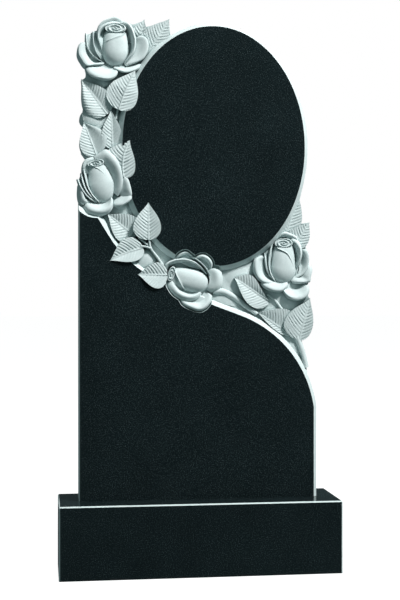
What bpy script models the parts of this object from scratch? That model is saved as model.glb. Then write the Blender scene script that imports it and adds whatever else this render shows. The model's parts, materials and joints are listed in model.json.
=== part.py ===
"""A granite headstone: a slab carved with roses round an oval, standing on a plain base block.

The slab has a polished panel below and a polished oval above. The stone between and beside them is cut
back to a carved ground, out of which four roses, their leaves and stems stand up to the polished faces.
"""

import math

import bmesh
import bpy
import numpy as np

# Base block, in metres.
BASE_WIDTH = 0.700
BASE_DEPTH = 0.200
BASE_HEIGHT = 0.180
BASE_CHAMFER = 0.003

# Slab, in metres.
SLAB_WIDTH = 0.600
SLAB_HEIGHT = 1.200
SLAB_THICKNESS = 0.060
SLAB_CHAMFER = 0.012
JOINT_GAP = 0.0003
WALL_DRAFT = 0.004
# The carved ground lies this far behind the polished faces, and the lowest roots of the carving this far.
GROUND_DEPTH = 0.016
RELIEF_DEPTH = 0.030

# The carving is drawn in shares of the slab: 600 steps across it and 1200 up it, and 30 steps of lift from
# the relief's depth to the polished faces.
ACROSS_STEPS = 600
UP_STEPS = 1200
LIFT_STEPS = 30
SINK = -19.0
SINK_STEP = 0.09
BUD_STEP = 1.0
ABOVE_FACE = 15.0
UNDER_RELIEF = 3.0

# The oval: its middle and its two half axes, in steps.
OVAL_MIDDLE = (338.0, 882.5)
OVAL_RADII = (230.5, 300.0)
OVAL_SIDES = 52
# The part of the oval that is the slab's own outline, in degrees round its middle.
OVAL_OUTLINE = (-22.0, 112.0)

# The panel's right shoulder is part of a circle that runs into the slab's right edge.
SHOULDER_MIDDLE = (303.0, 185.0)
SHOULDER_RADIUS = 292.0
SHOULDER_SWEEP = 70.0
SHOULDER_SIDES = 10
SHOULDER_CLEARANCE = 8.0

# How finely the carving is faceted. A petal has a row at its root, part way up to its crest, at the crest
# and at its edge, and a leaf has a column at each of these shares of its half widths.
PETAL_COLUMNS = 6
PETAL_PART_WAY = 0.6
PETAL_END_DROP = 0.35
LEAF_STATIONS = 6
LEAF_COLUMNS = (-1.0, -0.55, 0.0, 0.55, 1.0)
BUD_SPOKES = 14
BUD_RINGS = 3
WRAP_COLUMNS = 6
WRAP_ROWS = 3
WHORL_RINGS = 2
STEM_SECTIONS = 5
STEM_ACROSS = 4
MOUND_RINGS = 2
MOUND_EDGE_LIFT = 0.5
PANEL_EDGE_POINTS = 14
SPLINE_STEPS = 12
EGG_STEPS = 361

BUD_PEAK = 33.0
BUD_EDGE_LIFT = 8.0
BUD_ROUNDNESS = 3.4
DOME_POWER = 2.2
# The wrap stands over the bud, and its foot is buried beside it.
WRAP_THICKNESS = 2.4
WRAP_FOOT = 1.0
WRAP_UNDER = 0.6
WRAP_STEP = 0.3
WHORL_LEAST = 19.0
WHORL_RISE = 2.0
WHORL_STEP = 0.6
# The slab's outline lies inside the outer edge of the faces' chamfers, and so cuts them cleanly.
OUTLINE_SHARE = 0.75

HALO_GROUND = 20.0
HALO_INSET = 1.5
HALO_WIDTH = 5.0
HALO_STEP = 0.17
HALO_INNER = 0.4

# Triangles thinner than this, in metres, are taken out, or than the next where that would open the mesh.
SLIVERS = (3e-5, 2e-5, 1e-5)
SLIVER_ROUNDS = 8
SAME_POINT = 1e-6
KEPT_SHARE = 0.85

GRANITE = (0.012, 0.016, 0.018, 1.0)


class Petal:
    """A petal's outer edge in steps, and how its surface rises from the rose's heart to that edge."""

    def __init__(self, edge, inner, root, crest, share=0.85, end=None, halo=False):
        self.edge = edge
        self.inner = inner
        self.root = root
        self.crest = crest
        self.share = share
        self.end = crest - 4.0 if end is None else end
        self.halo = halo


class Rose:
    """A rose in steps. Its bud is an egg round a middle that points along turn and narrows to its neck, the
    wrap is the free edge of the petal that lies over the bud on the left of that edge's course and thins out
    along it by the power fade, and the whorl is the coil at the tip."""

    def __init__(self, heart, bud, half_width, down, up, turn, neck, wrap, fade, whorl, petals):
        self.heart = heart
        self.bud = bud
        self.half_width = half_width
        self.down = down
        self.up = up
        self.turn = turn
        self.neck = neck
        self.wrap = wrap
        self.fade = fade
        self.whorl = whorl
        self.petals = petals


ROSES = {
    "top_rose": Rose(
        heart=(90, 1112), bud=(90, 1116), half_width=35, down=40, up=67, turn=89, neck=0.86,
        wrap=[(117, 1165), (104, 1158), (89, 1150), (76, 1148), (63, 1147)], fade=0.25,
        whorl=(93, 1171, 28, 12, 0),
        petals=[
            Petal([(44, 1158), (50, 1174), (62, 1186), (78, 1192), (92, 1195), (110, 1189)], 0.72, 16, 26),
            Petal([(100, 1190), (120, 1189), (133, 1180), (143, 1158), (147, 1132), (139, 1105), (116, 1083)],
                  0.60, 8, 30, 0.76, 21),
            Petal([(146, 1152), (160, 1153), (171, 1146), (174, 1128), (168, 1106), (152, 1090), (120, 1080)],
                  0.70, 14, 25, 0.85, 20),
            Petal([(86, 1072), (100, 1065), (118, 1061), (136, 1065), (150, 1074), (155, 1084)],
                  0.70, 14, 29, 0.75, 21),
            Petal([(17, 1072), (23, 1058), (38, 1047), (58, 1042), (76, 1042), (90, 1050), (98, 1063)],
                  0.50, 16, 35, 0.76, 27),
            Petal([(16, 1136), (6, 1134), (-2, 1122), (-3, 1106), (4, 1091), (17, 1076), (40, 1078),
                   (60, 1081)], 0.62, 14, 29, 0.55, 14),
            Petal([(17, 1157), (16, 1140), (18, 1122), (29, 1106), (45, 1094), (62, 1085)],
                  0.74, 12, 27, 0.9),
            Petal([(33, 1163), (33, 1145), (34, 1128), (41, 1110), (54, 1094)], 0.74, 8, 29, 0.9),
            Petal([(58, 1106), (51, 1130), (45, 1152), (50, 1168), (62, 1180), (80, 1186), (100, 1188)],
                  0.78, 16, 31, 0.6, 23),
        ]),
    "left_rose": Rose(
        heart=(56, 785), bud=(55, 786), half_width=37.5, down=51, up=66, turn=101, neck=0.55,
        wrap=[(24, 833), (36, 828), (50, 820), (62, 809), (72, 792), (79, 770), (82, 754)],
        fade=3.0, whorl=(42, 839, 20, 9, -6),
        petals=[
            Petal([(38, 853), (52, 862), (66, 870), (81, 861), (97, 843), (107, 822), (111, 798), (108, 775),
                   (97, 755)], 0.32, 16, 35, 0.82, 29),
            Petal([(106, 806), (117, 806), (125, 792), (129, 770), (127, 754), (112, 742), (94, 738)],
                  0.75, 8, 25, 0.65, 16),
            Petal([(10, 726), (22, 713), (40, 707), (60, 707), (76, 715), (85, 730), (86, 746)],
                  0.55, 15, 34, 0.70, 26),
            Petal([(-2, 782), (-3, 760), (0, 742), (8, 731), (22, 728)], 0.60, 12, 27, 0.5, 14),
            Petal([(-4, 797), (2, 780), (12, 763), (26, 748), (45, 738)], 0.78, 10, 23, 0.9),
            Petal([(2, 812), (6, 792), (13, 772), (26, 753), (44, 740)], 0.80, 9, 26, 0.9),
            Petal([(8, 842), (8, 822), (11, 800), (18, 776), (31, 754), (52, 738)], 0.82, 8, 29, 0.9),
        ]),
    "middle_rose": Rose(
        heart=(285, 548), bud=(287, 543), half_width=30, down=41, up=64, turn=168, neck=0.55,
        wrap=[(246, 575), (245, 562), (249, 546), (256, 531), (266, 519)], fade=0.0,
        whorl=(230, 563, 19, 9, 72),
        petals=[
            Petal([(238, 598), (246, 610), (258, 618), (270, 619), (282, 611), (292, 602)],
                  0.75, 16, 27, halo=True),
            Petal([(288, 604), (298, 610), (312, 611), (326, 603), (334, 590), (334, 574)],
                  0.70, 14, 31, 0.75, halo=True),
            Petal([(276, 606), (290, 602), (306, 590), (320, 574), (330, 556)], 0.84, 14, 33, 0.9),
            Petal([(211, 572), (216, 586), (228, 595), (246, 600), (266, 600), (288, 593), (306, 580),
                   (322, 562)], 0.72, 10, 34, 0.88),
            Petal([(334, 583), (346, 581), (356, 570), (360, 552), (358, 535), (349, 521), (334, 513)],
                  0.62, 14, 29, 0.5, 15, halo=True),
            Petal([(219, 548), (221, 532), (234, 512), (252, 500), (275, 495), (298, 499), (314, 512)],
                  0.66, 12, 34, 0.55, 27, halo=True),
            Petal([(250, 500), (258, 487), (276, 477), (300, 470), (318, 478), (330, 494), (334, 508)],
                  0.60, 16, 34, 0.84, 29, halo=True),
        ]),
    "right_rose": Rose(
        heart=(513, 585), bud=(515, 577), half_width=36, down=41, up=78, turn=88, neck=0.74,
        wrap=[(492, 638), (499, 628), (511, 622), (523, 615), (531, 603), (537, 590), (543, 576)],
        fade=0.8, whorl=(515, 641, 23, 12, 0),
        petals=[
            Petal([(500, 655), (508, 666), (520, 670), (536, 665), (549, 658), (555, 645), (560, 632)],
                  0.72, 10, 25),
            Petal([(538, 660), (552, 650), (561, 635), (564, 615), (560, 595), (551, 575)],
                  0.64, 14, 32, 0.66, 21),
            Petal([(560, 624), (570, 627), (578, 619), (581, 600), (578, 580), (567, 562), (547, 550)],
                  0.72, 6, 25, 0.9),
            Petal([(584, 592), (589, 574), (585, 556), (582, 543), (562, 539), (540, 539)],
                  0.72, 14, 28, 0.72, 20),
            Petal([(456, 611), (441, 600), (438, 580), (441, 562), (450, 548), (466, 539), (490, 534)],
                  0.68, 14, 29, 0.72, 20),
            Petal([(468, 617), (470, 600), (473, 580), (480, 562), (494, 543)], 0.80, 9, 26, 0.9),
            Petal([(487, 642), (480, 622), (477, 600), (477, 580), (482, 560), (496, 541)],
                  0.86, 10, 29, 0.9),
            Petal([(455, 538), (467, 527), (485, 519), (504, 517), (516, 523), (528, 534)],
                  0.70, 15, 33, 0.75, 26),
            Petal([(511, 522), (520, 509), (534, 499), (552, 496), (570, 502), (580, 516), (582, 534)],
                  0.62, 14, 35, 0.86, 29),
        ]),
}


class Half:
    """One half of a leaf: its reach from the midrib and rise on the way, the share of the length where it is
    widest, how hollow it is and how far its edge curls under."""

    def __init__(self, reach, rise, widest=0.33, hollow=1.0, curl=0.0):
        self.reach = reach
        self.rise = rise
        self.widest = widest
        self.hollow = hollow
        self.curl = curl


class Leaf:
    """A leaf in steps: its foot and tip, its midrib's lifts at foot, middle and tip, its left and right
    halves as seen from the foot, and how far its midrib bows to the left."""

    def __init__(self, foot, tip, lifts, left, right, bow=0.0):
        self.foot = foot
        self.tip = tip
        self.lifts = lifts
        self.left = left
        self.right = right
        self.bow = bow


LEAVES = {
    "leaf_top_right": Leaf((168, 1108), (226, 1200), (16, 19, 21), Half(38, 6), Half(32, 5)),
    "leaf_top_left": Leaf((140, 1120), (163, 1197), (16, 18, 20), Half(28, 5), Half(20, 5)),
    "leaf_oval_upper": Leaf((98, 968), (140, 1068), (30, 32, 31), Half(43, 1), Half(36, 4)),
    "leaf_edge_upper": Leaf((71, 957), (6, 1046), (22, 25, 20), Half(39, 8, curl=9), Half(34, 3)),
    "leaf_behind_upper": Leaf((69, 974), (56, 1031), (15, 16, 17), Half(19, 3), Half(19, 4)),
    "leaf_edge_lower": Leaf((45, 855), (12, 938), (16, 18, 20), Half(31, 7),
                            Half(40, 12, widest=0.42, hollow=1.5)),
    "leaf_between": Leaf((84, 872), (80, 970), (16, 19, 21), Half(26, 6), Half(24, 6)),
    "leaf_oval_lower": Leaf((110, 803), (126, 894), (30.5, 31.5, 31),
                            Half(50, -12, hollow=2.0), Half(30, 4)),
    "leaf_spray_top": Leaf((172, 646), (172, 741), (31, 32, 31), Half(38, 6), Half(31, 6)),
    "leaf_spray_left": Leaf((143, 653), (70, 712), (22, 24, 25), Half(34, 8), Half(38, 5)),
    "leaf_spray_low": Leaf((160, 627), (76, 594), (28, 29, 30),
                           Half(26.5, 7), Half(40, 6), bow=-4),
    "leaf_under_rose": Leaf((220, 560), (145, 561), (28, 29, 30), Half(34, 7), Half(31, 5)),
    "leaf_right_upper": Leaf((482, 492), (388, 554), (18, 22, 24), Half(36, 8), Half(38, 6, widest=0.65)),
    "leaf_right_lower": Leaf((535, 408), (447, 468), (16, 19, 19), Half(12, 3), Half(50, 8)),
    "leaf_right_big": Leaf((556, 395), (584, 503), (20, 23, 23), Half(50, 7), Half(24, 6)),
    "leaf_far_upper": Leaf((522, 660), (556, 765), (16, 18, 19), Half(27, 5), Half(28, 5)),
    "leaf_far_lower": Leaf((545, 630), (583, 695), (16, 18, 19), Half(33, 5), Half(23, 5)),
}
LEAF_BLUNTNESS = 0.8
LEAF_ENDS = (0.012, 0.988)
FOLD_STEEPNESS = 1.5
FOLD_FULLNESS = 0.7
CURL_START = 0.62

# Each stem's route in steps, its half width at both ends and its lift.
STEMS = {
    "stem_oval_leaf": ([(98, 976), (95, 962), (92, 948)], (3.0, 3.0), 22),
    "stem_spray": ([(174, 650), (178, 627), (192, 607), (206, 588), (216, 570)], (2.6, 3.6), 30),
    "stem_spray_left": ([(148, 652), (162, 642), (178, 627)], (2.6, 2.6), 27),
    "stem_spray_low": ([(154, 631), (165, 630), (178, 626)], (2.6, 2.6), 31),
    "stem_vine": ([(336, 520), (362, 518), (392, 503), (420, 482), (448, 462)], (9.0, 6.0), 22),
    "stem_right": ([(474, 512), (492, 499), (514, 472)], (3.5, 3.5), 20),
    "stem_end": ([(551, 404), (562, 376), (571, 346), (575, 326)], (8.0, 6.5), 22),
}

# Low mounds of carved ground: middle, half axes, turn and lift.
MOUNDS = {
    "calyx_top": (62, 1055, 44, 38, 0, 20),
    "calyx_left": (104, 738, 26, 18, -20, 19),
    "calyx_right": (502, 520, 52, 42, -10, 18),
    "mound_edge": (34, 950, 32, 24, 10, 19),
    "mound_spray": (166, 598, 30, 22, -30, 24),
    "mound_middle": (398, 560, 52, 36, 15, 17),
    "mound_lower": (372, 500, 50, 14, -18, 17),
}

# The carved side of the slab's outline, anticlockwise in steps: down the left from the oval's upper left,
# and up the right from the panel's shoulder to the oval.
LEFT_SIDE = [
    (228, 1165), (225, 1198), (186, 1184), (168, 1179), (163, 1194), (135, 1184), (124, 1187), (90, 1191),
    (62, 1182), (46, 1166), (20, 1155), (14, 1134), (2, 1120), (1, 1106), (18, 1074), (20, 1052), (8, 1042),
    (10, 1010), (12, 978), (8.5, 958), (13, 940), (8.8, 905), (5, 880), (7.2, 864), (20, 846), (10, 838),
    (7.8, 815), (0, 795), (0, 700),
]
RIGHT_SIDE = [
    (577, 322), (576, 336), (568, 362), (563, 392), (566, 400), (584, 420), (590, 450), (586, 480),
    (583, 503), (579, 512), (581, 545), (586, 574), (580, 592), (579, 616), (574, 632), (578, 650),
    (583, 694), (562, 691), (561, 715), (558, 752),
]

# The panel's upper edge from the left edge to the shoulder.
PANEL_EDGE = [(47, 700), (91, 632), (133, 588), (165, 565), (215, 538), (270, 511), (330, 486.5)]
PANEL_LEFT_DIP = [(11, 710), (22, 704), (34, 701)]
PANEL_LEFT_TOP = 716.0
PANEL_LEFT_INSET = 2.5
PANEL_RIGHT_INSET = 8.0


def clear_scene():
    for obj in list(bpy.data.objects):
        bpy.data.objects.remove(obj)


def granite():
    """Black granite: dark, and polished to a shine."""
    material = bpy.data.materials.new("black_granite")
    material.use_nodes = True
    shader = material.node_tree.nodes["Principled BSDF"]
    shader.inputs["Base Color"].default_value = GRANITE
    shader.inputs["Roughness"].default_value = 0.2
    shader.inputs["Metallic"].default_value = 0.0
    return material


def place(points):
    """Points of the carving, (across, up, lift) in steps, as metres."""
    points = np.asarray(points, float)
    x = (points[:, 0] / ACROSS_STEPS - 0.5) * SLAB_WIDTH
    y = -SLAB_THICKNESS / 2 + RELIEF_DEPTH - points[:, 2] / LIFT_STEPS * RELIEF_DEPTH
    z = BASE_HEIGHT + JOINT_GAP + points[:, 1] / UP_STEPS * SLAB_HEIGHT
    return np.stack([x, y, z], axis=1)


def spline(points, count):
    """Evenly spaced points on a smooth curve through the given ones."""
    points = np.asarray(points, float)
    ends = np.vstack([2 * points[0] - points[1], points, 2 * points[-1] - points[-2]])
    t = np.arange(SPLINE_STEPS)[:, None] / SPLINE_STEPS
    curve = []
    for a, b, c, d in zip(ends, ends[1:], ends[2:], ends[3:]):
        curve.append(0.5 * (2 * b + (c - a) * t + (2 * a - 5 * b + 4 * c - d) * t**2
                            + (3 * b - a - 3 * c + d) * t**3))
    curve = np.vstack([*curve, points[-1:]])
    length = np.append(0.0, np.cumsum(np.linalg.norm(np.diff(curve, axis=0), axis=1)))
    wanted = np.linspace(0.0, length[-1], count)
    return np.stack([np.interp(wanted, length, curve[:, k]) for k in range(2)], axis=1)


def grown(loop, by):
    """The loop moved out by a distance along its mitred normals."""
    ahead = np.roll(loop, -1, axis=0) - loop
    ahead /= np.linalg.norm(ahead, axis=1)[:, None]
    side = np.stack([ahead[:, 1], -ahead[:, 0]], axis=1)
    mean = side + np.roll(side, 1, axis=0)
    mitre = 2 * mean / (mean**2).sum(axis=1)[:, None]
    turned = (loop[:, 0] * np.roll(loop[:, 1], -1) - loop[:, 1] * np.roll(loop[:, 0], -1)).sum()
    return loop + mitre * by * (1 if turned > 0 else -1)


def new_object(name, bm, helper=True):
    """An object from a bmesh, facing out. A helper only cuts or joins another and isn't in the model."""
    bmesh.ops.recalc_face_normals(bm, faces=bm.faces)
    mesh = bpy.data.meshes.new(name)
    bm.to_mesh(mesh)
    bm.free()
    obj = bpy.data.objects.new(name, mesh)
    obj.hide_render = helper
    obj.display_type = "WIRE" if helper else "TEXTURED"
    return obj


def solid(name, points, faces, helper=True):
    """A closed object from points of the carving and the faces between them."""
    bm = bmesh.new()
    verts = [bm.verts.new(point) for point in place(points).tolist()]
    for face in faces:
        bm.faces.new([verts[k] for k in face])
    bmesh.ops.remove_doubles(bm, verts=bm.verts, dist=SAME_POINT)
    bmesh.ops.triangulate(bm, faces=bm.faces)
    return new_object(name, bm, helper)


def stacked(name, loops, helper=True):
    """A closed solid through loops of equal length, each an (across, up) array with its lift."""
    count = len(loops[0][0])
    points = np.vstack([np.column_stack([loop, np.full(count, lift)]) for loop, lift in loops])
    faces = []
    for r in range(len(loops) - 1):
        for k in range(count):
            n = (k + 1) % count
            faces.append((r * count + k, r * count + n, (r + 1) * count + n, (r + 1) * count + k))
    faces.append(list(range(count)))
    faces.append(list(range((len(loops) - 1) * count, len(loops) * count)))
    return solid(name, points, faces, helper)


def closed_under(name, points, faces, rim, sink):
    """A closed solid under a surface: straight sides below its rim, and a flat underside."""
    points = np.asarray(points, float)
    foot = points[rim].copy()
    foot[:, 2] = sink
    first = len(points)
    faces = list(faces)
    for k in range(len(rim)):
        n = (k + 1) % len(rim)
        faces.append((rim[k], rim[n], first + n, first + k))
    faces.append(list(range(first, first + len(rim))))
    return solid(name, np.vstack([points, foot]), faces)


def sheet(name, grid, sink):
    """The solid under a rows by columns grid of (across, up, lift)."""
    rows, columns = grid.shape[:2]
    faces = [(r * columns + c, r * columns + c + 1, (r + 1) * columns + c + 1, (r + 1) * columns + c)
             for r in range(rows - 1) for c in range(columns - 1)]
    rim = list(range(columns))
    rim += [r * columns + columns - 1 for r in range(1, rows)]
    rim += [(rows - 1) * columns + c for c in range(columns - 2, -1, -1)]
    rim += [r * columns for r in range(rows - 2, 0, -1)]
    return closed_under(name, grid.reshape(-1, 3), faces, rim, sink)


def cap(name, outline, middle, lift_at, rings, sink):
    """The solid under a dome with a closed outline round a middle: lift_at gives the lifts of points."""
    spokes = len(outline)
    middle = np.array(middle, float)
    # Rings lie closer together near the edge, where a dome is steep.
    shares = np.sin(math.pi / 2 * np.arange(1, rings + 1) / rings)
    flat = np.vstack([middle] + [middle + (outline - middle) * share for share in shares])
    points = np.column_stack([flat, lift_at(flat)])
    faces = [(0, 1 + s, 1 + (s + 1) % spokes) for s in range(spokes)]
    for r in range(1, rings):
        for s in range(spokes):
            n = (s + 1) % spokes
            low, high = 1 + (r - 1) * spokes, 1 + r * spokes
            faces.append((low + s, high + s, high + n, low + n))
    return closed_under(name, points, faces, [1 + (rings - 1) * spokes + s for s in range(spokes)], sink)


def turned_ellipse(middle, long, short, turn, count):
    angle = np.linspace(0, 2 * math.pi, count, endpoint=False)
    c, s = math.cos(math.radians(turn)), math.sin(math.radians(turn))
    x, y = long * np.cos(angle), short * np.sin(angle)
    return np.stack([middle[0] + x * c - y * s, middle[1] + x * s + y * c], axis=1)


def bud_reach(rose, angles):
    """How far the bud's egg reaches from its middle at angles in radians."""
    round_it = np.linspace(-math.pi, math.pi, EGG_STEPS)
    c, s = np.cos(round_it), np.sin(round_it)
    power = 2 / np.where(c > 0, BUD_ROUNDNESS, 2.0)
    along = np.sign(c) * np.abs(c) ** power * np.where(c > 0, rose.up, rose.down)
    aside = np.sign(s) * np.abs(s) ** power * rose.half_width
    aside *= 1 - (1 - rose.neck) * np.clip(along / rose.up, 0, 1)
    away = (np.asarray(angles) - math.radians(rose.turn) + math.pi) % (2 * math.pi) - math.pi
    return np.interp(away, np.arctan2(aside, along), np.hypot(along, aside))


def bud_lift(rose, points):
    """The bud's lift at points: a dome over its egg."""
    off = points - np.array(rose.bud, float)
    share = np.hypot(off[:, 0], off[:, 1]) / bud_reach(rose, np.arctan2(off[:, 1], off[:, 0]))
    return BUD_EDGE_LIFT + (BUD_PEAK - BUD_EDGE_LIFT) * np.sqrt(1 - np.minimum(share, 1.0) ** DOME_POWER)


def bud_outline(rose, angles, grow=0.0):
    reach = bud_reach(rose, angles) + grow
    return np.stack([rose.bud[0] + reach * np.cos(angles), rose.bud[1] + reach * np.sin(angles)], axis=1)


def wrap_grid(rose):
    """Points of the petal wrapped over the bud, from its free edge to its hem."""
    edge = spline(rose.wrap, WRAP_COLUMNS)
    first, last = edge[0] - rose.bud, edge[-1] - rose.bud
    start, stop = math.atan2(first[1], first[0]), math.atan2(last[1], last[0])
    if start < stop:
        start += 2 * math.pi
    hem = bud_outline(rose, np.linspace(start, stop, WRAP_COLUMNS), grow=WRAP_FOOT)
    fade = (1 - np.linspace(0, 1, WRAP_COLUMNS)) ** rose.fade
    grid = np.zeros((WRAP_ROWS, WRAP_COLUMNS, 3))
    for r, share in enumerate(np.linspace(0, 1, WRAP_ROWS)):
        points = edge + (hem - edge) * share
        grid[r, :, :2] = points
        grid[r, :, 2] = bud_lift(rose, points) + (WRAP_THICKNESS + WRAP_UNDER) * fade - WRAP_UNDER
    return grid


def bud(name, rose, sink):
    """The bud, the petal wrapped over it, and the coiled whorl at its tip, here a plain raised oval."""
    whole = np.linspace(0, 2 * math.pi, BUD_SPOKES, endpoint=False)
    yield cap(f"{name}_bud", bud_outline(rose, whole), rose.bud, lambda p: bud_lift(rose, p), BUD_RINGS, sink)
    yield sheet(f"{name}_wrap", wrap_grid(rose), sink - WRAP_STEP)

    across, up, long, short, turn = rose.whorl
    ring = turned_ellipse((across, up), long, short, turn, BUD_SPOKES)

    def raised(points):
        return np.maximum(bud_lift(rose, points), WHORL_LEAST) + WRAP_THICKNESS + WHORL_RISE

    yield cap(f"{name}_whorl", ring, (across, up), raised, WHORL_RINGS, sink - WHORL_STEP)


def petal_grid(heart, petal):
    """Points of a petal from its root to its edge: it rises to a crest and then rolls over."""
    edge = spline(petal.edge, PETAL_COLUMNS)
    heart = np.array(heart, float)
    ends = np.abs(np.linspace(-1, 1, PETAL_COLUMNS))
    fade = 1 - PETAL_END_DROP * ends**3
    stations = [0.0, PETAL_PART_WAY * petal.share, petal.share, 1.0]
    grid = np.zeros((len(stations), PETAL_COLUMNS, 3))
    for r, s in enumerate(stations):
        grid[r, :, :2] = heart + (edge - heart) * (petal.inner + (1 - petal.inner) * s)
        if s <= petal.share:
            rise = 0.5 - 0.5 * math.cos(math.pi * s / petal.share)
            lift = petal.root + (petal.crest - petal.root) * rise
        else:
            roll = (s - petal.share) / (1 - petal.share)
            lift = petal.crest + (petal.end - petal.crest) * roll**2
        grid[r, :, 2] = lift * fade
    return grid


def halo(name, heart, petal, step):
    """A groove's cutter round a petal that stands over a polished face: its sides slope outwards.

    Cutters that overlap differ by a step in their lifts, so that no two of their faces lie in one plane.
    """
    edge = spline(petal.edge, PETAL_COLUMNS + 2)
    heart = np.array(heart, float)
    away = edge - heart
    unit = away / np.linalg.norm(away, axis=1)[:, None]
    loops = []
    for grow, lift in ((HALO_INSET, HALO_GROUND + step), (HALO_WIDTH, LIFT_STEPS + step),
                       (HALO_WIDTH, LIFT_STEPS + ABOVE_FACE + step)):
        loops.append((np.vstack([edge + unit * grow, (heart + away * HALO_INNER)[::-1]]), lift))
    return stacked(name, loops)


def leaf_grid(leaf):
    """Points of a leaf: stations from foot to tip, each across from the right edge to the left."""
    foot, tip = np.array(leaf.foot, float), np.array(leaf.tip, float)
    along = tip - foot
    left = np.array([-along[1], along[0]]) / np.linalg.norm(along)
    s, t = np.meshgrid(np.linspace(*LEAF_ENDS, LEAF_STATIONS), LEAF_COLUMNS, indexing="ij")
    lift = np.interp(s, (0.0, 0.5, 1.0), leaf.lifts)
    aside = leaf.bow * 4 * s * (1 - s)
    far = np.abs(t)
    for half, here in ((leaf.left, t > 0), (leaf.right, t <= 0)):
        swell = np.sin(math.pi * s ** (math.log(0.5) / math.log(half.widest))) ** LEAF_BLUNTNESS
        fold = (FOLD_STEEPNESS * far - (FOLD_STEEPNESS - 1) * far**2) ** half.hollow
        rise = half.rise * np.sin(math.pi * s) ** FOLD_FULLNESS * fold
        rise -= half.curl * np.sin(math.pi * s) * np.clip((far - CURL_START) / (1 - CURL_START), 0, 1) ** 2
        lift = lift + np.where(here, rise, 0.0)
        aside = aside + np.where(here, half.reach * swell * t, 0.0)
    flat = foot + along * s[:, :, None] + left * aside[:, :, None]
    return np.concatenate([flat, lift[:, :, None]], axis=2)


def stem_grid(route, half_widths, lift):
    """Points of a stem: a rounded ridge along its route."""
    line = spline(route, STEM_SECTIONS)
    along = np.gradient(line, axis=0)
    side = np.stack([-along[:, 1], along[:, 0]], axis=1)
    side /= np.linalg.norm(side, axis=1)[:, None]
    radius = np.linspace(*half_widths, STEM_SECTIONS)
    grid = np.zeros((STEM_SECTIONS, STEM_ACROSS, 3))
    for c, angle in enumerate(np.linspace(-math.pi / 2, math.pi / 2, STEM_ACROSS)):
        grid[:, c, :2] = line + side * (radius * math.sin(angle))[:, None]
        grid[:, c, 2] = lift - radius + radius * math.cos(angle)
    return grid


def carvings():
    """Every rose, leaf, stem and mound as a solid of its own, each sunk a little deeper than the last."""
    solids = []

    def sink():
        return SINK - SINK_STEP * len(solids)

    for name, rose in ROSES.items():
        for k, petal in enumerate(rose.petals):
            solids.append(sheet(f"{name}_petal_{k + 1}", petal_grid(rose.heart, petal), sink()))
        solids += list(bud(name, rose, sink() - BUD_STEP))
    for name, leaf in LEAVES.items():
        solids.append(sheet(name, leaf_grid(leaf), sink()))
    for name, (route, half_widths, lift) in STEMS.items():
        solids.append(sheet(name, stem_grid(route, half_widths, lift), sink()))
    for name, (across, up, long, short, turn, lift) in MOUNDS.items():
        ring = turned_ellipse((across, up), long, short, turn, BUD_SPOKES)
        middle = np.array((across, up), float)

        def dome(points, middle=middle, long=long, lift=lift):
            far = np.linalg.norm(points - middle, axis=1) / long
            return lift * np.sqrt(np.maximum(0.0, 1 - far**2)) + MOUND_EDGE_LIFT

        solids.append(cap(name, ring, middle, dome, MOUND_RINGS, sink()))
    return solids


def oval_loop(grow=0.0):
    angle = np.linspace(0, 2 * math.pi, OVAL_SIDES, endpoint=False)
    return np.stack([OVAL_MIDDLE[0] + (OVAL_RADII[0] + grow) * np.cos(angle),
                     OVAL_MIDDLE[1] + (OVAL_RADII[1] + grow) * np.sin(angle)], axis=1)


def chamfer_units():
    return SLAB_CHAMFER / SLAB_WIDTH * ACROSS_STEPS


def shoulder(grow, across):
    """The shoulder's arc, moved out by a distance, from the top of its sweep down to a point across."""
    radius = SHOULDER_RADIUS + grow
    end = math.acos(min(1.0, (across - SHOULDER_MIDDLE[0]) / radius))
    angle = np.linspace(math.radians(SHOULDER_SWEEP), end, SHOULDER_SIDES + 1)
    return np.stack([SHOULDER_MIDDLE[0] + radius * np.cos(angle),
                     SHOULDER_MIDDLE[1] + radius * np.sin(angle)], axis=1)


def panel_loop():
    """The polished panel's edge in steps, clockwise from its lower left corner."""
    right = ACROSS_STEPS - PANEL_RIGHT_INSET
    left = [(PANEL_LEFT_INSET, -ABOVE_FACE), (PANEL_LEFT_INSET, PANEL_LEFT_TOP), *PANEL_LEFT_DIP]
    upper = spline(PANEL_EDGE, PANEL_EDGE_POINTS)
    return np.vstack([left, upper, shoulder(0.0, right), [(right, -ABOVE_FACE)]])


def face_loops(loop, grow):
    """The sides of a polished face, from below the ground up: a sloping wall, a chamfer, then straight up."""
    chamfer = chamfer_units()
    draft = WALL_DRAFT / SLAB_WIDTH * ACROSS_STEPS
    drop = SLAB_CHAMFER / RELIEF_DEPTH * LIFT_STEPS
    return [
        (grow(loop, chamfer + draft), -UNDER_RELIEF),
        (grow(loop, chamfer), LIFT_STEPS - drop),
        (loop, LIFT_STEPS),
        (loop, LIFT_STEPS + 2 * ABOVE_FACE),
    ]


def slab_outline():
    """The slab's outline in steps, anticlockwise from its lower left corner."""
    chamfer = chamfer_units()
    oval = oval_loop(chamfer * OUTLINE_SHARE)
    angle = np.degrees(np.arctan2(oval[:, 1] - OVAL_MIDDLE[1], oval[:, 0] - OVAL_MIDDLE[0]))
    free = (angle > OVAL_OUTLINE[0]) & (angle < OVAL_OUTLINE[1])
    kept = oval[free][np.argsort(angle[free])]
    edge = shoulder(chamfer * OUTLINE_SHARE, ACROSS_STEPS)
    low = edge[edge[:, 1] < RIGHT_SIDE[0][1] - SHOULDER_CLEARANCE][::-1]
    return np.vstack([[(0, 0), (ACROSS_STEPS, 0)], low, RIGHT_SIDE, kept, LEFT_SIDE])


def boolean(obj, name, operation, other):
    modifier = obj.modifiers.new(name, "BOOLEAN")
    modifier.operation = operation
    # The exact solver leaves open edges among this many overlapping petals.
    modifier.solver = "MANIFOLD"
    if isinstance(other, bpy.types.Collection):
        modifier.operand_type = "COLLECTION"
        modifier.collection = other
    else:
        modifier.object = other


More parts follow.
